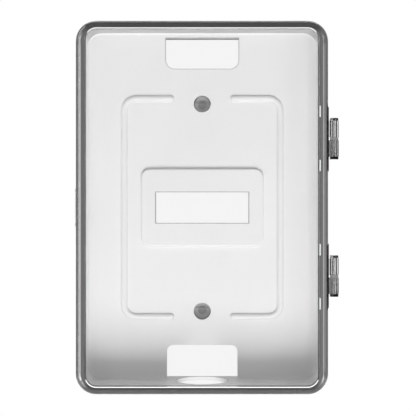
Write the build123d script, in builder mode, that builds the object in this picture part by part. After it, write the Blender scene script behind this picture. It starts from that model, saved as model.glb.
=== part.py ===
from build123d import *
import os

# Weatherproof sensor enclosure: a white back box, a clear hinged cover and the small parts between them.
# Millimetres. The origin is the centre of the wall face. Width is X, height is Z, and the front faces -Y.
# A depth is the distance in front of the wall, so a depth of 8 lies at Y = -8.

os.makedirs("parts", exist_ok=True)

# Outer shell
outer_width = 96.5
outer_height = 142.8
outer_corner_radius = 7.8

# Back box
box_depth = 25.0
box_wall = 1.75
box_top_wall = 1.2
box_bottom_wall = 2.5
box_corner_radius = 6.2
box_edge_chamfer = 0.4
plate_standoff = 5.5
plate_thickness = 2.5
plate_fillet = 0.8

# Stiffening bead on the back plate
bead_width = 62.7
bead_height = 87.6
bead_corner_radius = 4.8
bead_gap = 25.0
bead_round = 1.5
bead_rise = 1.0

# Raised pad and cable window
pad_width = 49.3
pad_height = 31.5
pad_corner_radius = 3.6
pad_rise = 1.3
pad_edge_round = 0.9
window_width = 37.3
window_height = 12.4

# Clearance openings for conduit fittings
top_opening_width = 29.3
top_opening_low = 55.8
top_opening_high = 68.1
top_opening_radius = 3.6
bottom_opening_width = 28.4
bottom_opening_start = 55.2
bottom_opening_radius = 2.6

# Conduit entry in the bottom wall
entry_radius = 10.25
entry_depth = 11.75
entry_wall = 1.5
hub_flat_width = 27.0
hub_flat_depth = 23.6

# Screw bosses
screw_spacing = 83.3
screw_hole_radius = 2.1
counterbore_radius = 3.4
boss_wall = 1.6
boss_floor = 1.5
screw_seal_thickness = 1.0
screw_seal_gap = 0.1
screw_seal_bore_radius = 2.05
screw_seal_skin = 0.3

# Ribs behind the back plate
rib_thickness = 1.4
rib_spacing = 52.0
rib_length = 100.0
rib_setback = 0.5

# Foam seal against the wall
wall_seal_width = 1.6
wall_seal_leg = 62.0

# Cover
cover_height = 8.0
cover_side_wall = 3.4
cover_end_wall = 2.45
pocket_corner_radius = 4.4
cover_panel = 2.4
cover_front_round = 1.9
cover_inner_bevel = 0.4
seal_side_inset = 1.55
seal_end_inset = 1.0
seal_corner_radius = 6.5
seal_lip = 0.4
seal_depth = 1.3

# Hinges
hinge_spacing = 53.2
hinge_offset = 3.0
knuckle_radius = 1.8
knuckle_length = 6.4
washer_radius = 1.6
washer_thickness = 1.0
side_play = 0.1
pin_radius = 1.0
pin_fit = 0.05
pin_head_radius = 1.65
pin_head_height = 1.0
pin_head_bevel = 0.2
arm_thickness = 1.5
arm_root = 0.8
leaf_height = 25.2
leaf_thickness = 1.0
leaf_depth = 13.0
leaf_corner_radius = 1.0
leaf_front_gap = 0.4
clip_window_height = 4.4
clip_window_depth = 5.5
clip_window_front = 1.2
clip_gap = 0.2
clip_barb = 0.5

# Snap tab on the left of the cover
tab_height = 14.0
tab_thickness = 0.65
tab_gap = 0.15
tab_root = 0.5
tab_reach = 9.0
tab_overlap = 2.2
tab_corner_radius = 1.8
tab_flare = 0.4
tab_flare_length = 2.0
bump_rise = 0.1
bump_length = 1.4
bump_height = 9.0
bump_depth_behind = 5.0
catch_depth = 0.6
catch_margin = 0.5

# Derived places
half_width = outer_width / 2
half_height = outer_height / 2
plate_front = plate_standoff + plate_thickness
cavity_width = outer_width - 2 * box_wall
cavity_height = outer_height - box_top_wall - box_bottom_wall
cavity_centre = (box_bottom_wall - box_top_wall) / 2
cavity_floor = -half_height + box_bottom_wall
front_depth = box_depth + cover_height
hinge_x = half_width + hinge_offset
screw_places = [(0, screw_spacing / 2), (0, -screw_spacing / 2)]
hinge_levels = {"upper": hinge_spacing / 2, "lower": -hinge_spacing / 2}


def at_depth(depth):
    """Plane parallel to the wall, at this distance in front of it, facing the front."""
    return Plane.XZ.offset(depth)


def shell_outline():
    """Outline of the shell's outer face."""
    RectangleRounded(outer_width, outer_height, outer_corner_radius)


def cavity_outline(inset=0, mode=Mode.ADD):
    """Outline of the space inside the back box's walls, drawn in by the inset."""
    with Locations((0, cavity_centre)):
        RectangleRounded(
            cavity_width - 2 * inset,
            cavity_height - 2 * inset,
            box_corner_radius - inset,
            mode=mode,
        )


def pocket_outline(growth=0, mode=Mode.ADD):
    """Outline of the hollow in the cover, grown all round."""
    RectangleRounded(
        outer_width - 2 * cover_side_wall + 2 * growth,
        outer_height - 2 * cover_end_wall + 2 * growth,
        pocket_corner_radius + growth,
        mode=mode,
    )


def seal_outline():
    """Outline of the cover's seal, between the rim of the box and the hollow in the cover."""
    RectangleRounded(
        outer_width - 2 * seal_side_inset, outer_height - 2 * seal_end_inset, seal_corner_radius
    )
    pocket_outline(seal_lip, Mode.SUBTRACT)


def opening_outline(width, low, high, radius, square_top):
    """A rectangle between two levels, rounded at one end and square at the other."""
    with Locations((0, (low + high) / 2)):
        RectangleRounded(width, high - low, radius)
    square_level = high if square_top else low
    square_align = Align.MAX if square_top else Align.MIN
    with Locations((0, square_level)):
        Rectangle(width, (high - low) / 2, align=(Align.CENTER, square_align))


# Back box: outer block, hollowed behind and in front of the raised back plate
with BuildPart() as back_box:
    with BuildSketch(at_depth(0)):
        shell_outline()
    extrude(amount=box_depth)
    chamfer(back_box.faces().sort_by(Axis.Y)[-1].edges(), box_edge_chamfer)
    with BuildSketch(at_depth(0)):
        cavity_outline()
    extrude(amount=plate_standoff, mode=Mode.SUBTRACT)
    with BuildSketch(at_depth(plate_front)):
        cavity_outline()
    extrude(amount=box_depth - plate_front, mode=Mode.SUBTRACT)
    plate_face = back_box.faces().filter_by(Axis.Y).filter_by_position(
        Axis.Y, -plate_front - 0.01, -plate_front + 0.01
    )
    fillet(plate_face.edges(), plate_fillet)

    # Raised pad with its softened front edge
    with BuildSketch(at_depth(plate_front)):
        RectangleRounded(pad_width, pad_height, pad_corner_radius)
    extrude(amount=pad_rise)
    pad_top = back_box.faces().filter_by(Axis.Y).filter_by_position(
        Axis.Y, -plate_front - pad_rise - 0.01, -plate_front - pad_rise + 0.01
    )
    fillet(pad_top.edges(), pad_edge_round)

    # Stiffening bead: a round bar sunk into the plate, in two brackets with domed ends
    for side in (-1, 1):
        bead_level = plate_front + bead_rise - bead_round
        with BuildLine(at_depth(bead_level)) as bead_path:
            FilletPolyline(
                (side * bead_gap / 2, bead_height / 2),
                (side * bead_width / 2, bead_height / 2),
                (side * bead_width / 2, -bead_height / 2),
                (side * bead_gap / 2, -bead_height / 2),
                radius=bead_corner_radius,
            )
        bead_start = Plane(
            origin=bead_path.line @ 0, x_dir=(0, 0, 1), z_dir=bead_path.line % 0
        )
        with BuildSketch(bead_start):
            Circle(bead_round)
        sweep(path=bead_path.line)
        with Locations(bead_path.line @ 0, bead_path.line @ 1):
            Sphere(bead_round)

    # Screw bosses, from the back of the plate to the wall
    with BuildSketch(at_depth(0)):
        with Locations(screw_places):
            Circle(counterbore_radius + boss_wall)
    extrude(amount=plate_front)

    # Ribs behind the plate
    with BuildSketch(at_depth(rib_setback)):
        with GridLocations(rib_spacing, 1, 2, 1):
            Rectangle(rib_thickness, rib_length)
    extrude(amount=plate_standoff - rib_setback)

    # Counterbored screw holes
    with Locations(at_depth(plate_front)):
        with Locations(screw_places):
            CounterBoreHole(
                screw_hole_radius, counterbore_radius, plate_front - boss_floor, plate_front
            )

    # Cable window and the two clearance openings
    with BuildSketch(at_depth(0)):
        Rectangle(window_width, window_height)
    extrude(amount=plate_front + pad_rise, mode=Mode.SUBTRACT)
    with BuildSketch(at_depth(0)):
        opening_outline(
            top_opening_width, top_opening_low, top_opening_high, top_opening_radius, True
        )
    extrude(amount=plate_front, mode=Mode.SUBTRACT)
    with BuildSketch(at_depth(0)):
        opening_outline(
            bottom_opening_width, cavity_floor, -bottom_opening_start, bottom_opening_radius, False
        )
    extrude(amount=plate_front + plate_fillet, mode=Mode.SUBTRACT)

    # Conduit entry through the bottom wall, in a flat for the hub
    with BuildSketch(Plane.XY.offset(-half_height)):
        with Locations((0, -hub_flat_depth / 2)):
            Rectangle(hub_flat_width, hub_flat_depth)
    extrude(amount=box_bottom_wall - entry_wall, mode=Mode.SUBTRACT)
    with BuildSketch(Plane.XY.offset(-half_height)):
        with Locations((0, -entry_depth)):
            Circle(entry_radius)
    extrude(amount=box_bottom_wall, mode=Mode.SUBTRACT)

    # Windows in the right wall for the hinge leaves' clips
    for level in hinge_levels.values():
        window_offset = (leaf_height - clip_window_height) / 2
        window_middle = box_depth - clip_window_front - clip_window_depth / 2
        with BuildSketch(Plane.YZ.offset(half_width - 2 * box_wall)):
            with Locations(
                (-window_middle, level - window_offset), (-window_middle, level + window_offset)
            ):
                Rectangle(clip_window_depth, clip_window_height)
        extrude(amount=3 * box_wall, mode=Mode.SUBTRACT)

    # Catch for the snap bump, in the outside of the left wall
    with BuildSketch(Plane.YZ.offset(-half_width)):
        with Locations((-(box_depth - bump_depth_behind), 0)):
            Rectangle(bump_length + 2 * catch_margin, bump_height + 2 * catch_margin)
    extrude(amount=catch_depth, mode=Mode.SUBTRACT)
back_box.part.label = "back_box"


# Seal ring in the cover's rear edge
with BuildPart() as cover_seal:
    with BuildSketch(at_depth(box_depth)):
        seal_outline()
    extrude(amount=seal_depth)
cover_seal.part.label = "cover_seal"


# Foam strip behind the plate, open at the bottom
with BuildPart() as wall_seal:
    with BuildSketch(at_depth(0)):
        cavity_outline()
        cavity_outline(wall_seal_width, Mode.SUBTRACT)
        with Locations((0, -wall_seal_leg)):
            Rectangle(outer_width, outer_height, align=(Align.CENTER, Align.MAX), mode=Mode.SUBTRACT)
    extrude(amount=plate_standoff)
wall_seal.part.label = "wall_seal"


def hinge_round(level, low, high, radius, mode=Mode.ADD):
    """Round bar or hole on the hinge axis, between two heights counted from the hinge's own level."""
    with BuildSketch(Plane.XY.offset(level + low)) as outline:
        with Locations((hinge_x, -box_depth)):
            Circle(radius)
    extrude(outline.sketch, amount=high - low, mode=mode)


def hinge_arm(level, low, high, start_x, front):
    """Arm from the wall to the barrel, on the front or the rear side of the hinge axis."""
    side = -1 if front else 1
    middle = -box_depth + side * (knuckle_radius - arm_thickness / 2)
    with BuildSketch(Plane.XY.offset(level + low)) as outline:
        with Locations(((start_x + hinge_x) / 2, middle)):
            Rectangle(hinge_x - start_x, arm_thickness)
    extrude(outline.sketch, amount=high - low)


# Heights on each hinge, counted from its middle
leaf_top = -washer_thickness / 2
leaf_bottom = leaf_top - knuckle_length
cover_knuckle_bottom = washer_thickness / 2 + side_play
cover_knuckle_top = cover_knuckle_bottom + knuckle_length


# Cover: a shallow clear tray with its knuckles and snap tab
with BuildPart() as clear_cover:
    with BuildSketch(at_depth(box_depth)):
        shell_outline()
    extrude(amount=cover_height)
    fillet(clear_cover.faces().sort_by(Axis.Y)[0].edges(), cover_front_round)
    with BuildSketch(at_depth(box_depth)):
        pocket_outline()
    extrude(amount=cover_height - cover_panel, mode=Mode.SUBTRACT)
    inner_face = clear_cover.faces().filter_by(Axis.Y).filter_by_position(
        Axis.Y, -front_depth + cover_panel - 0.01, -front_depth + cover_panel + 0.01
    )
    chamfer(inner_face.edges(), cover_inner_bevel)
    with BuildSketch(at_depth(box_depth)):
        seal_outline()
    extrude(amount=seal_depth, mode=Mode.SUBTRACT)

    # Knuckles on the right
    for level in hinge_levels.values():
        knuckle = (level, cover_knuckle_bottom, cover_knuckle_top)
        hinge_round(*knuckle, knuckle_radius)
        hinge_arm(*knuckle, half_width - arm_root, True)
        hinge_round(*knuckle, pin_radius + pin_fit, Mode.SUBTRACT)

    # Snap tab on the left, with a flared finger edge and a bump inside
    tab_inner_x = -half_width - tab_gap
    tab_outer_x = tab_inner_x - tab_thickness
    tab_rear = -box_depth + tab_reach
    tab_front = -box_depth - tab_overlap
    with BuildSketch(Plane.XY.offset(-tab_height / 2)):
        with BuildLine():
            Polyline(
                (-half_width + tab_root, tab_front),
                (-half_width + tab_root, -box_depth - tab_gap),
                (tab_inner_x, -box_depth - tab_gap),
                (tab_inner_x, tab_rear - tab_flare_length),
                (tab_inner_x - tab_flare, tab_rear),
                (tab_outer_x - tab_flare, tab_rear),
                (tab_outer_x, tab_rear - tab_flare_length),
                (tab_outer_x, tab_front + tab_thickness),
                (tab_outer_x + tab_thickness, tab_front),
                close=True,
            )
        make_face()
    extrude(amount=tab_height)
    tab_corners = clear_cover.edges().filter_by(Axis.X).filter_by_position(
        Axis.Y, tab_rear - 0.01, tab_rear + 0.01
    )
    fillet(tab_corners, tab_corner_radius)
    with BuildSketch(Plane.YZ.offset(tab_inner_x - tab_thickness / 2)):
        with Locations((-(box_depth - bump_depth_behind), 0)):
            Rectangle(bump_length, bump_height)
    extrude(amount=tab_thickness / 2 + bump_rise)
clear_cover.part.label = "clear_cover"


def make_leaf(name, level):
    """Hinge leaf: a plate on the right wall with a knuckle and two clips through the windows."""
    plate_front_y = -box_depth + leaf_front_gap
    window_offset = (leaf_height - clip_window_height) / 2
    clip_front_y = -box_depth + clip_window_front + clip_gap
    clip_length = clip_window_depth - 2 * clip_gap
    with BuildPart() as leaf:
        with BuildSketch(Plane.YZ.offset(half_width)):
            with Locations((plate_front_y + leaf_depth / 2, level)):
                RectangleRounded(leaf_depth, leaf_height, leaf_corner_radius)
        extrude(amount=leaf_thickness)
        hinge_arm(level, leaf_bottom, leaf_top, half_width + leaf_thickness / 2, False)
        hinge_round(level, leaf_bottom, leaf_top, knuckle_radius)
        hinge_round(level, leaf_bottom, leaf_top, pin_radius, Mode.SUBTRACT)
        for offset in (-window_offset, window_offset):
            with BuildSketch(Plane.XY.offset(level + offset - clip_window_height / 2 + clip_gap)):
                with BuildLine():
                    Polyline(
                        (half_width, clip_front_y),
                        (half_width, clip_front_y + clip_length),
                        (half_width - box_wall - clip_gap, clip_front_y + clip_length),
                        (half_width - box_wall - clip_gap, clip_front_y + clip_length + clip_barb),
                        (half_width - box_wall - clip_gap - clip_barb, clip_front_y + clip_length),
                        (half_width - box_wall - clip_gap - clip_barb, clip_front_y),
                        close=True,
                    )
                make_face()
            extrude(amount=clip_window_height - 2 * clip_gap)
    leaf.part.label = name
    export_step(leaf.part, f"parts/{name}.step")


def make_ring(name, plane, place, outer, inner, height):
    """Flat ring: a washer or a retaining ring."""
    with BuildPart() as ring:
        with BuildSketch(plane):
            with Locations(place):
                Circle(outer)
                Circle(inner, mode=Mode.SUBTRACT)
        extrude(amount=height)
    ring.part.label = name
    export_step(ring.part, f"parts/{name}.step")


def make_pin(name, level):
    """Headed hinge pin, through both knuckles and the clip below."""
    low = leaf_bottom - pin_head_height
    high = cover_knuckle_top + side_play
    with BuildPart() as pin:
        with BuildSketch(Plane.XY.offset(level + low)):
            with Locations((hinge_x, -box_depth)):
                Circle(pin_radius)
        extrude(amount=high - low)
        with BuildSketch(Plane.XY.offset(level + high)):
            with Locations((hinge_x, -box_depth)):
                Circle(pin_head_radius)
        extrude(amount=pin_head_height)
        chamfer(pin.faces().sort_by(Axis.Z)[-1].edges(), pin_head_bevel)
    pin.part.label = name
    export_step(pin.part, f"parts/{name}.step")


def make_screw_seal(name, place):
    """Rubber seal on the counterbore's floor, closed at the rear by a thin skin that the screw pierces."""
    with BuildPart() as seal:
        with BuildSketch(at_depth(boss_floor)):
            with Locations(place):
                Circle(counterbore_radius - screw_seal_gap)
        extrude(amount=screw_seal_thickness)
        with BuildSketch(at_depth(boss_floor + screw_seal_skin)):
            with Locations(place):
                Circle(screw_seal_bore_radius)
        extrude(amount=screw_seal_thickness - screw_seal_skin, mode=Mode.SUBTRACT)
    seal.part.label = name
    export_step(seal.part, f"parts/{name}.step")


for side_name, level in hinge_levels.items():
    make_leaf(f"{side_name}_hinge_leaf", level)
    make_pin(f"{side_name}_hinge_pin", level)
    make_ring(
        f"{side_name}_hinge_washer",
        Plane.XY.offset(level + leaf_top),
        (hinge_x, -box_depth),
        washer_radius,
        pin_radius + pin_fit,
        washer_thickness,
    )
    make_ring(
        f"{side_name}_pin_clip",
        Plane.XY.offset(level + leaf_bottom - pin_head_height),
        (hinge_x, -box_depth),
        pin_head_radius,
        pin_radius,
        pin_head_height,
    )

for side_name, place in zip(("upper", "lower"), screw_places):
    make_screw_seal(f"{side_name}_screw_seal", place)

for piece in (back_box, clear_cover, cover_seal, wall_seal):
    export_step(piece.part, f"parts/{piece.part.label}.step")
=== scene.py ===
import math

import bpy
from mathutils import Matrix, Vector

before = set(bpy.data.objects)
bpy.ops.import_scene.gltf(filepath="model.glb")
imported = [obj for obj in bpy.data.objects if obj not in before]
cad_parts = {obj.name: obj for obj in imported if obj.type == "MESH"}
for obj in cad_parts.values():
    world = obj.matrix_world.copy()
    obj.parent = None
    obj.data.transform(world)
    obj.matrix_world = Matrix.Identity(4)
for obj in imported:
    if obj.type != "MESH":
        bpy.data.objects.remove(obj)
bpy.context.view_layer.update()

# Lengths are in metres, in the CAD's frame: X to the right, Y from the front to the wall, Z up.
# A ramp says where a change starts and ends, and the values before and after it, or else 0 and 1.

# The photograph's frame and camera, from its perspective
FRAME_PIXELS = 416
FOCAL_PIXELS = 1147.2
SENSOR_MM = 36.0
CAMERA_PLACE = (0.00232, -0.470, -0.00016)
CAMERA_NEAR = 0.01

# Width of a change of shade that looks sharp
SHARP = 0.0001

# Where a noise reaches the darker and the lighter shade
NOISE_ENDS = (0.3, 0.7)

# White plastic: its shades, and its broad unevenness and fine grain in waves a metre
WHITE_SHADES = (0.80, 0.82)
WHITE_ROUGHNESS = (0.36, 0.46)
WHITE_SPECULAR = 0.4
WHITE_UNEVEN = 45.0
WHITE_GRAIN = 2600.0

# Painted shade along the edges of the openings: half width, low and high level, corner radius,
# reach, and shade
OPENING_PAINTED_SHADE = [
    (0.01865, -0.0062, 0.0062, 0.0, 0.0004, 0.35),
    (0.01465, 0.0558, 0.0681, 0.0036, 0.0004, 0.40),
]

# Painted shade on the plate toward the side walls, and painted light on its foot at them, by the
# distance from the middle
PLATE_SIDES_PAINTED_SHADE = (0.0310, 0.0410, 1.0, 0.965)
WALL_FOOT_PAINTED_LIGHT = (0.0427, 0.0461, 1.0, 1.18)

# Sealing face on the rim, with painted shade across its ends
RIM_FACE = -0.0249
RIM_ENDS_PAINTED_SHADE = (0.0655, 0.0680, 1.0, 0.40)

# Painted shade on the inside of the top wall: the cavity's faces and corner radius, and the shade
WALL_FACE = 0.0465
TOP_FACE = 0.0702
CAVITY_ROUND = 0.0062
TOP_PAINTED_SHADE = 0.52

# Conduit entry in the bottom wall: its axis on Y, its radius, its edge's reach and painted shade,
# and the level that the painted shade on the edge stays under
ENTRY_AXIS = -0.01175
ENTRY_RADIUS = 0.01025
ENTRY_REACH = 0.0006
ENTRY_PAINTED_SHADE = 0.55
ENTRY_LEVEL = (-0.0685, -0.0683)

# Painted shade on the undersides of the bead and the pad, by the normal's Z, and the level where
# they end
UNDERSIDE_PAINTED_SHADE = (-0.6, -0.1, 0.84, 1.0)
UNDERSIDE_LEVEL = (0.050, 0.052)

# Screw counterbores and their seals: the axes' distance from the middle, the radii of the
# counterbore and the bore, the shades of each with painted shade in the counterbore and the bore,
# and the painted shade above the axis
SCREW_AXIS = 0.04165
SCREW_POCKET = 0.0034
SCREW_BORE = 0.0018
POCKET_PAINTED_SHADE = 0.72
BORE_PAINTED_SHADE = 0.60
RING_SHADE = 0.98
SCREW_ABOVE_PAINTED_SHADE = (0.0004, 0.0010, 1.0, 0.5)

# Clear plastic: its index, its haze, and the share of the lamps' light that each face lets through
CLEAR_INDEX = 1.58
CLEAR_HAZE = 60.0
CLEAR_ROUGHNESS = (0.005, 0.03)
CLEAR_SHARE = 0.98

# Where the knuckles begin on X on the cover and on the leaves, and the tints of the clear parts;
# the leaves' near-black tint is painted shade
COVER_FACE = 0.0485
LEAF_FACE = 0.0495
COVER_TINT = 0.985
LEAF_PAINTED_SHADE_TINT = 0.03
KNUCKLE_TINT = 0.90

# Hinges: the level of their middles, half their height, and where the painted dark line of shade on
# the cover's front round begins on X and ends on Y
HINGE_LEVEL = 0.0266
HINGE_HALF = 0.0125
HINGE_PAINTED_LINE = (0.0477, -0.0300)

# Cover seal: the painted shades of its sides and ends, darker across the ends, and where the
# painted light of its paler outer lip starts and ends
SEAL_PAINTED_SHADES = (0.0670, 0.0690, 0.155, 0.075)
SEAL_LIP = 0.04645
SEAL_LIP_PAINTED_LIGHT = 0.26
SEAL_LIP_ENDS = (0.062, 0.066, 1.0, 0.0)

# Painted light on the seal beside the hinge clips, as pale marks: the clips' distance from the
# hinge's middle, half the marks' height, their place on X, half their width, and their shade
CLIP_OFFSET = 0.0104
CLIP_HALF = 0.0022
CLIP_LINE = 0.04545
CLIP_LINE_HALF = 0.0002
CLIP_PAINTED_LIGHT = 0.95

# Rubber and foam: how far the roughness varies, and the grain's strength and depth
RUBBER_SPREAD = 0.08
RUBBER_BUMP = (0.4, 0.0001)
RUBBER_GRAIN = 1500.0
SEAL_ROUGHNESS = 0.55
SCREW_SEAL_ROUGHNESS = 0.60

# Steel: its turning marks in waves a metre, and its roughness
STEEL_MARKS = 3000.0
STEEL_ROUGHNESS = (0.18, 0.34)

# Floor: its level, size, colour, and glow to the camera, in gloss and through glass
FLOOR_LEVEL = -1.7
FLOOR_SIZE = 9.0
FLOOR_SHADE = 0.85
FLOOR_GLOW = 0.8

# World: the fill, and ramps over the direction's X or Y for what reflections and glass see.
# Reflections see white behind and a dark room in front, with a bright strip at its left.
# Glass shows white, but grey straight to the front and straight to the sides.
FILL_LIGHT = 0.438
ROOM_BACK = (0.80, 0.92, 0.04, 1.0)
STRIP_LEFT = (-0.92, -0.86, 0.0, 1.0)
STRIP_RIGHT = (-0.60, -0.52, 1.0, 0.0)
STRIP_FRONT = (-0.2, 0.0, 4.0, 0.0)
GLASS_FRONT = (-0.97, -0.93, 0.35, 1.0)
GLASS_SIDES = (0.72, 0.88, 1.0, 0.08)

# Lamps, which face the origin: name, place, width, height and power
LAMPS = [
    ("low_softbox", (0.02, -1.11, -1.00), 0.45, 1.00, 21.8),
    ("side_softbox", (0.65, -0.85, -0.40), 0.30, 0.40, 0.9),
]


def feed(tree, socket, value):
    """Sets an input to a number, or links another socket to it."""
    if isinstance(value, (int, float)):
        socket.default_value = value
    else:
        tree.links.new(value, socket)


def math_node(tree, operation, *values):
    """One math step on one or two values, each a socket or a number."""
    node = tree.nodes.new("ShaderNodeMath")
    node.operation = operation
    for socket, value in zip(node.inputs, values):
        feed(tree, socket, value)
    return node.outputs["Value"]


def product(tree, *values):
    """Product of two or more values."""
    result = values[0]
    for value in values[1:]:
        result = math_node(tree, "MULTIPLY", result, value)
    return result


def distance_from(tree, value, place):
    """How far a value is from a place, on either side."""
    return math_node(tree, "ABSOLUTE", math_node(tree, "SUBTRACT", value, place))


def length_of(tree, first, second):
    """Length of a vector with these two parts."""
    squares = [math_node(tree, "POWER", part, 2.0) for part in (first, second)]
    return math_node(tree, "SQRT", math_node(tree, "ADD", *squares))


def corner_length(tree, first, second):
    """Length of a vector with these two parts, where a part below zero counts as zero."""
    parts = [math_node(tree, "MAXIMUM", part, 0.0) for part in (first, second)]
    return length_of(tree, *parts)


def smooth_step(tree, value, start, end, low=0.0, high=1.0):
    """Smooth change from low to high as a value goes from start to end."""
    node = tree.nodes.new("ShaderNodeMapRange")
    node.interpolation_type = "SMOOTHSTEP"
    node.inputs["From Min"].default_value = start
    node.inputs["From Max"].default_value = end
    node.inputs["To Min"].default_value = low
    node.inputs["To Max"].default_value = high
    tree.links.new(value, node.inputs["Value"])
    return node.outputs["Result"]


def spread(tree, value, low, high):
    """Maps a value from 0..1 to low..high."""
    node = tree.nodes.new("ShaderNodeMapRange")
    node.inputs["To Min"].default_value = low
    node.inputs["To Max"].default_value = high
    tree.links.new(value, node.inputs["Value"])
    return node.outputs["Result"]


def axes_of(tree, vector):
    """X, Y and Z of a vector."""
    split = tree.nodes.new("ShaderNodeSeparateXYZ")
    tree.links.new(vector, split.inputs["Vector"])
    return split.outputs["X"], split.outputs["Y"], split.outputs["Z"]


def place_axes(tree):
    """The object's own X, Y and Z."""
    coords = tree.nodes.new("ShaderNodeTexCoord")
    return axes_of(tree, coords.outputs["Object"])


def noise(tree, waves, detail=3.0):
    """Noise over the object's own coordinates, at so many waves a metre."""
    coords = tree.nodes.new("ShaderNodeTexCoord")
    tex = tree.nodes.new("ShaderNodeTexNoise")
    tex.inputs["Scale"].default_value = waves
    tex.inputs["Detail"].default_value = detail
    tree.links.new(coords.outputs["Object"], tex.inputs["Vector"])
    return tex.outputs["Fac"]


def shades(tree, value, dark, light):
    """Grey between two shades, driven by a noise."""
    ramp = tree.nodes.new("ShaderNodeValToRGB")
    for element, position, shade in zip(ramp.color_ramp.elements, NOISE_ENDS, (dark, light)):
        element.position = position
        element.color = (shade, shade, shade, 1)
    tree.links.new(value, ramp.inputs["Fac"])
    return ramp.outputs["Color"]


def bump(tree, height, strength, distance):
    """Bump from a height."""
    node = tree.nodes.new("ShaderNodeBump")
    node.inputs["Strength"].default_value = strength
    node.inputs["Distance"].default_value = distance
    tree.links.new(height, node.inputs["Height"])
    return node.outputs["Normal"]


def ray_kind(tree, *kinds):
    """1 for rays of any of these kinds."""
    path = tree.nodes.new("ShaderNodeLightPath")
    result = path.outputs[kinds[0]]
    for kind in kinds[1:]:
        result = math_node(tree, "MAXIMUM", result, path.outputs[kind])
    return result


def mix_shaders(tree, share, first, second):
    """The first shader where the share is 0, the second where it is 1."""
    node = tree.nodes.new("ShaderNodeMixShader")
    tree.links.new(share, node.inputs["Fac"])
    tree.links.new(first, node.inputs[1])
    tree.links.new(second, node.inputs[2])
    return node.outputs["Shader"]


def make_material(name):
    """New node material, its empty tree, and its surface's socket."""
    mat = bpy.data.materials.new(name)
    mat.use_nodes = True
    tree = mat.node_tree
    tree.nodes.clear()
    out = tree.nodes.new("ShaderNodeOutputMaterial")
    return mat, tree, out.inputs["Surface"]


def edge_distance(tree, axes, half_width, low, high, radius):
    """Distance outside an opening with two rounded lower corners."""
    from_middle = math_node(tree, "ABSOLUTE", axes[0])
    across = math_node(tree, "SUBTRACT", from_middle, half_width - radius)
    below = math_node(tree, "SUBTRACT", low + radius, axes[2])
    rounded = math_node(tree, "SUBTRACT", corner_length(tree, across, below), radius)
    return math_node(tree, "MAXIMUM", rounded, math_node(tree, "SUBTRACT", axes[2], high))


def screw_distance(tree, axes):
    """Distance from the axis of the nearer screw hole."""
    from_middle = math_node(tree, "ABSOLUTE", axes[2])
    return length_of(tree, math_node(tree, "SUBTRACT", from_middle, SCREW_AXIS), axes[0])


def opening_painted_shade(tree, axes):
    """Painted shade along the edges of the window and the top opening."""
    painted_edges = []
    for half_width, low, high, radius, reach, grey in OPENING_PAINTED_SHADE:
        distance = edge_distance(tree, axes, half_width, low, high, radius)
        painted_edges.append(smooth_step(tree, distance, 0.0, reach, grey, 1.0))
    return product(tree, *painted_edges)


def side_painted_light_and_shade(tree, axes):
    """Painted shade a little darker toward the side walls, and painted light at their foot."""
    from_middle = math_node(tree, "ABSOLUTE", axes[0])
    toward_wall = smooth_step(tree, from_middle, *PLATE_SIDES_PAINTED_SHADE)
    return product(tree, toward_wall, smooth_step(tree, from_middle, *WALL_FOOT_PAINTED_LIGHT))


def rim_painted_shade(tree, axes):
    """Painted shade across the ends of the rim's sealing face."""
    behind_rim = smooth_step(tree, axes[1], RIM_FACE, RIM_FACE + 2 * SHARP)
    ends = smooth_step(tree, math_node(tree, "ABSOLUTE", axes[2]), *RIM_ENDS_PAINTED_SHADE)
    return math_node(tree, "MAXIMUM", behind_rim, ends)


def top_wall_painted_shade(tree, axes):
    """Painted shade on the inside of the top wall, fading round its corners."""
    from_middle = math_node(tree, "ABSOLUTE", axes[0])
    corner_x = math_node(tree, "SUBTRACT", from_middle, WALL_FACE - CAVITY_ROUND)
    corner_z = math_node(tree, "SUBTRACT", axes[2], TOP_FACE - CAVITY_ROUND)
    reach = corner_length(tree, corner_x, corner_z)
    before = smooth_step(tree, reach, CAVITY_ROUND - 4 * SHARP, CAVITY_ROUND)
    beyond = smooth_step(tree, reach, CAVITY_ROUND + 2 * SHARP, CAVITY_ROUND + 6 * SHARP, 1.0, 0.0)
    facing_down = smooth_step(tree, corner_z, 0.0, 0.8 * CAVITY_ROUND, 0.0, 1.0 - TOP_PAINTED_SHADE)
    return math_node(tree, "SUBTRACT", 1.0, product(tree, before, beyond, facing_down))


def entry_painted_shade(tree, axes):
    """Painted shade round the edge of the conduit entry."""
    from_axis = math_node(tree, "SUBTRACT", axes[1], ENTRY_AXIS)
    radius = length_of(tree, axes[0], from_axis)
    inside = smooth_step(tree, radius, ENTRY_RADIUS, ENTRY_RADIUS + SHARP, 1.0, 0.0)
    outside = smooth_step(
        tree, radius, ENTRY_RADIUS + 2 * SHARP, ENTRY_RADIUS + ENTRY_REACH, ENTRY_PAINTED_SHADE, 1.0
    )
    edge = math_node(tree, "MAXIMUM", inside, outside)
    return math_node(tree, "MAXIMUM", edge, smooth_step(tree, axes[2], *ENTRY_LEVEL))


def pocket_painted_shade(tree, axes):
    """Painted shade in the screws' counterbores."""
    radius = screw_distance(tree, axes)
    return smooth_step(tree, radius, SCREW_POCKET, SCREW_POCKET + SHARP, POCKET_PAINTED_SHADE, 1.0)


def underside_painted_shade(tree, axes):
    """Painted shade on undersides, except near the ends."""
    geometry = tree.nodes.new("ShaderNodeNewGeometry")
    facing_up = axes_of(tree, geometry.outputs["Normal"])[2]
    near_ends = smooth_step(tree, math_node(tree, "ABSOLUTE", axes[2]), *UNDERSIDE_LEVEL)
    return math_node(tree, "MAXIMUM", smooth_step(tree, facing_up, *UNDERSIDE_PAINTED_SHADE), near_ends)


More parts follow.
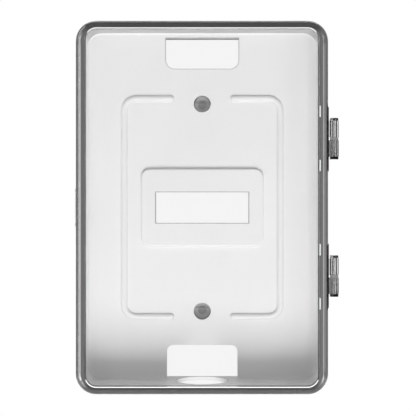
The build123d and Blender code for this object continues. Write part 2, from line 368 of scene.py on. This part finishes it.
def white_plastic():
    """Satin white moulding with a fine grain, and with painted shade and painted light in the box's
    darker and lighter places.
    """
    mat, tree, surface = make_material("box_white")
    shader = tree.nodes.new("ShaderNodeBsdfPrincipled")
    uneven = noise(tree, WHITE_UNEVEN)
    grain = noise(tree, WHITE_GRAIN, detail=2.0)
    axes = place_axes(tree)
    painted_light_and_shade = product(
        tree,
        opening_painted_shade(tree, axes),
        side_painted_light_and_shade(tree, axes),
        rim_painted_shade(tree, axes),
        top_wall_painted_shade(tree, axes),
        entry_painted_shade(tree, axes),
        pocket_painted_shade(tree, axes),
        underside_painted_shade(tree, axes),
    )
    toned = tree.nodes.new("ShaderNodeVectorMath")
    toned.operation = "SCALE"
    tree.links.new(shades(tree, uneven, *WHITE_SHADES), toned.inputs[0])
    tree.links.new(painted_light_and_shade, toned.inputs["Scale"])
    tree.links.new(toned.outputs["Vector"], shader.inputs["Base Color"])
    tree.links.new(spread(tree, uneven, *WHITE_ROUGHNESS), shader.inputs["Roughness"])
    tree.links.new(bump(tree, grain, strength=0.12, distance=0.00004), shader.inputs["Normal"])
    shader.inputs["Specular IOR Level"].default_value = WHITE_SPECULAR
    tree.links.new(shader.outputs["BSDF"], surface)
    return mat


def painted_hinge_shade_line(tree, axes):
    """1 on a thin line of painted shade along the cover's front round beside each hinge."""
    level = distance_from(tree, math_node(tree, "ABSOLUTE", axes[2]), HINGE_LEVEL)
    beside = smooth_step(tree, level, HINGE_HALF, HINGE_HALF + SHARP, 1.0, 0.0)
    at_edge = smooth_step(tree, axes[0], HINGE_PAINTED_LINE[0] - SHARP, HINGE_PAINTED_LINE[0])
    on_front = smooth_step(tree, axes[1], HINGE_PAINTED_LINE[1], HINGE_PAINTED_LINE[1] + SHARP, 1.0, 0.0)
    return product(tree, beside, at_edge, on_front)


def clear_plastic(name, inner, outer, edge, painted_line=False):
    """Polycarbonate that lets the lamps light what is behind it.

    It has one tint up to an edge on X and one beyond, and it can have the painted dark line of
    shade beside the hinges.
    """
    mat, tree, surface = make_material(name)
    shader = tree.nodes.new("ShaderNodeBsdfPrincipled")
    axes = place_axes(tree)
    tint = smooth_step(tree, axes[0], edge - SHARP, edge, inner, outer)
    if painted_line:
        tint = product(tree, tint, math_node(tree, "SUBTRACT", 1.0, painted_hinge_shade_line(tree, axes)))
    tree.links.new(tint, shader.inputs["Base Color"])
    shader.inputs["Transmission Weight"].default_value = 1.0
    shader.inputs["IOR"].default_value = CLEAR_INDEX
    haze = spread(tree, noise(tree, CLEAR_HAZE), *CLEAR_ROUGHNESS)
    tree.links.new(haze, shader.inputs["Roughness"])
    open_way = tree.nodes.new("ShaderNodeBsdfTransparent")
    open_way.inputs["Color"].default_value = (CLEAR_SHARE, CLEAR_SHARE, CLEAR_SHARE, 1)
    light_rays = ray_kind(tree, "Is Shadow Ray", "Is Diffuse Ray")
    mixed = mix_shaders(tree, light_rays, shader.outputs["BSDF"], open_way.outputs["BSDF"])
    tree.links.new(mixed, surface)
    return mat


def rubber_finish(tree, shader, grain, roughness):
    """Matt, slightly uneven surface of rubber or foam."""
    uneven = spread(tree, grain, roughness - RUBBER_SPREAD, roughness + RUBBER_SPREAD)
    tree.links.new(uneven, shader.inputs["Roughness"])
    tree.links.new(bump(tree, grain, *RUBBER_BUMP), shader.inputs["Normal"])


def rubber(name, dark, light, waves, roughness):
    """Matt rubber or foam with its grain."""
    mat, tree, surface = make_material(name)
    shader = tree.nodes.new("ShaderNodeBsdfPrincipled")
    grain = noise(tree, waves)
    tree.links.new(shades(tree, grain, dark, light), shader.inputs["Base Color"])
    rubber_finish(tree, shader, grain, roughness)
    tree.links.new(shader.outputs["BSDF"], surface)
    return mat


def painted_clip_light(tree, axes):
    """Shade of the pale marks of painted light beside the hinge clips, and 0 elsewhere."""
    from_hinge = distance_from(tree, math_node(tree, "ABSOLUTE", axes[2]), HINGE_LEVEL)
    from_clip = distance_from(tree, from_hinge, CLIP_OFFSET)
    from_line = distance_from(tree, axes[0], CLIP_LINE)
    return product(
        tree,
        smooth_step(tree, from_clip, CLIP_HALF - SHARP, CLIP_HALF + SHARP, CLIP_PAINTED_LIGHT, 0.0),
        smooth_step(tree, from_line, CLIP_LINE_HALF, CLIP_LINE_HALF + SHARP, 1.0, 0.0),
    )


def seal_rubber():
    """Soft grey seal with painted light on a paler outer lip along the sides, and painted shade
    across the ends.
    """
    mat, tree, surface = make_material("seal_grey")
    shader = tree.nodes.new("ShaderNodeBsdfPrincipled")
    axes = place_axes(tree)
    across = math_node(tree, "ABSOLUTE", axes[0])
    along = math_node(tree, "ABSOLUTE", axes[2])
    body = smooth_step(tree, along, *SEAL_PAINTED_SHADES)
    lip = product(
        tree,
        smooth_step(tree, across, SEAL_LIP - SHARP, SEAL_LIP + SHARP, 0.0, SEAL_LIP_PAINTED_LIGHT),
        smooth_step(tree, along, *SEAL_LIP_ENDS),
    )
    shade = math_node(tree, "MAXIMUM", body, lip)
    shade = math_node(tree, "MAXIMUM", shade, painted_clip_light(tree, axes))
    grain = noise(tree, RUBBER_GRAIN)
    mottled = product(tree, shade, spread(tree, grain, low=0.92, high=1.08))
    tree.links.new(mottled, shader.inputs["Base Color"])
    rubber_finish(tree, shader, grain, SEAL_ROUGHNESS)
    tree.links.new(shader.outputs["BSDF"], surface)
    return mat


def screw_rubber():
    """Grey rubber with painted shade: its thin skin is painted darker than the ring around it, and
    both are painted darker above the axis.
    """
    mat, tree, surface = make_material("screw_seal_grey")
    shader = tree.nodes.new("ShaderNodeBsdfPrincipled")
    axes = place_axes(tree)
    radius = screw_distance(tree, axes)
    shade = smooth_step(tree, radius, SCREW_BORE - SHARP, SCREW_BORE, BORE_PAINTED_SHADE, RING_SHADE)
    axis_level = math_node(tree, "MULTIPLY", math_node(tree, "SIGN", axes[2]), SCREW_AXIS)
    above_axis = math_node(tree, "SUBTRACT", axes[2], axis_level)
    grain = noise(tree, RUBBER_GRAIN)
    mottled = product(
        tree,
        shade,
        smooth_step(tree, above_axis, *SCREW_ABOVE_PAINTED_SHADE),
        spread(tree, grain, low=0.94, high=1.06),
    )
    tree.links.new(mottled, shader.inputs["Base Color"])
    rubber_finish(tree, shader, grain, SCREW_SEAL_ROUGHNESS)
    tree.links.new(shader.outputs["BSDF"], surface)
    return mat


def steel(name, dark, light):
    """Steel with fine turning marks."""
    mat, tree, surface = make_material(name)
    shader = tree.nodes.new("ShaderNodeBsdfPrincipled")
    shader.inputs["Metallic"].default_value = 1.0
    marks = noise(tree, STEEL_MARKS)
    tree.links.new(shades(tree, marks, dark, light), shader.inputs["Base Color"])
    tree.links.new(spread(tree, marks, *STEEL_ROUGHNESS), shader.inputs["Roughness"])
    tree.links.new(shader.outputs["BSDF"], surface)
    return mat


def floor_material():
    """Pale floor that keeps its shadow and is white to the camera, in gloss and through glass."""
    mat, tree, surface = make_material("floor_pale")
    diffuse = tree.nodes.new("ShaderNodeBsdfDiffuse")
    diffuse.inputs["Color"].default_value = (FLOOR_SHADE, FLOOR_SHADE, FLOOR_SHADE, 1)
    glow = tree.nodes.new("ShaderNodeEmission")
    seen = ray_kind(tree, "Is Camera Ray", "Is Glossy Ray", "Is Transmission Ray")
    tree.links.new(spread(tree, seen, 0.0, FLOOR_GLOW), glow.inputs["Strength"])
    total = tree.nodes.new("ShaderNodeAddShader")
    tree.links.new(diffuse.outputs["BSDF"], total.inputs[0])
    tree.links.new(glow.outputs["Emission"], total.inputs[1])
    tree.links.new(total.outputs["Shader"], surface)
    return mat


def background(tree, strength):
    """White background of some strength, a socket or a number."""
    node = tree.nodes.new("ShaderNodeBackground")
    node.inputs["Color"].default_value = (1, 1, 1, 1)
    feed(tree, node.inputs["Strength"], strength)
    return node.outputs["Background"]


def studio_world():
    """White to the camera, a room in reflections, white through glass, and an even fill."""
    world = bpy.data.worlds.new("studio")
    bpy.context.scene.world = world
    world.use_nodes = True
    tree = world.node_tree
    tree.nodes.clear()
    out = tree.nodes.new("ShaderNodeOutputWorld")
    coords = tree.nodes.new("ShaderNodeTexCoord")
    toward_right, toward_back, _ = axes_of(tree, coords.outputs["Generated"])
    strip = product(
        tree,
        smooth_step(tree, toward_right, *STRIP_LEFT),
        smooth_step(tree, toward_right, *STRIP_RIGHT),
        smooth_step(tree, toward_back, *STRIP_FRONT),
    )
    room = math_node(tree, "ADD", smooth_step(tree, toward_back, *ROOM_BACK), strip)
    through_glass = product(
        tree,
        smooth_step(tree, toward_back, *GLASS_FRONT),
        smooth_step(tree, math_node(tree, "ABSOLUTE", toward_right), *GLASS_SIDES),
    )
    seen = background(tree, FILL_LIGHT)
    for kind, strength in (
        ("Is Glossy Ray", room),
        ("Is Transmission Ray", through_glass),
        ("Is Camera Ray", 1.0),
    ):
        seen = mix_shaders(tree, ray_kind(tree, kind), seen, background(tree, strength))
    tree.links.new(seen, out.inputs["Surface"])


def softbox(name, place, width, height, power):
    """A large rectangular lamp that faces the origin and leaves no highlight of its own."""
    lamp = bpy.data.lights.new(name, "AREA")
    lamp.shape = "RECTANGLE"
    lamp.size = width
    lamp.size_y = height
    lamp.energy = power
    obj = bpy.data.objects.new(name, lamp)
    bpy.context.scene.collection.objects.link(obj)
    obj.visible_glossy = False
    obj.location = place
    obj.rotation_euler = (-Vector(place)).to_track_quat("-Z", "Y").to_euler()


def dress(node, mat):
    """Gives a CAD node its material."""
    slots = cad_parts[node].data.materials
    slots.clear()
    slots.append(mat)


# The object's materials
# The hinge leaves' near-black tint is painted shade
hinge_mat = clear_plastic("hinge_clear", LEAF_PAINTED_SHADE_TINT, KNUCKLE_TINT, LEAF_FACE)
screw_seal_mat = screw_rubber()
steel_mat = steel("pin_steel", dark=0.74, light=0.86)
washer_mat = rubber("washer_grey", dark=0.22, light=0.28, waves=1200.0, roughness=0.45)
clip_mat = steel("clip_steel", dark=0.10, light=0.16)

dress("back_box", white_plastic())
# The cover carries the painted dark line of shade beside the hinges
dress("clear_cover", clear_plastic("cover_clear", COVER_TINT, KNUCKLE_TINT, COVER_FACE, painted_line=True))
dress("cover_seal", seal_rubber())
dress("wall_seal", rubber("foam_grey", dark=0.10, light=0.16, waves=2500.0, roughness=0.85))
for side in ("upper", "lower"):
    dress(f"{side}_hinge_leaf", hinge_mat)
    dress(f"{side}_hinge_pin", steel_mat)
    dress(f"{side}_pin_clip", clip_mat)
    dress(f"{side}_hinge_washer", washer_mat)
    dress(f"{side}_screw_seal", screw_seal_mat)

# Floor
half = FLOOR_SIZE / 2
floor_mesh = bpy.data.meshes.new("floor")
floor_mesh.from_pydata(
    [(-half, -half, 0), (half, -half, 0), (half, half, 0), (-half, half, 0)], [], [(0, 1, 2, 3)]
)
floor = bpy.data.objects.new("floor", floor_mesh)
bpy.context.scene.collection.objects.link(floor)
floor.location = (0, 0, FLOOR_LEVEL)
floor_mesh.materials.append(floor_material())

# Light and camera
studio_world()
for lamp in LAMPS:
    softbox(*lamp)

camera = bpy.data.objects.new("camera", bpy.data.cameras.new("camera"))
bpy.context.scene.collection.objects.link(camera)
camera.location = CAMERA_PLACE
camera.rotation_euler = (math.radians(90), 0, 0)
camera.data.sensor_width = SENSOR_MM
camera.data.lens = FOCAL_PIXELS * SENSOR_MM / FRAME_PIXELS
camera.data.clip_start = CAMERA_NEAR
bpy.context.scene.camera = camera
bpy.context.scene.view_settings.view_transform = "Standard"
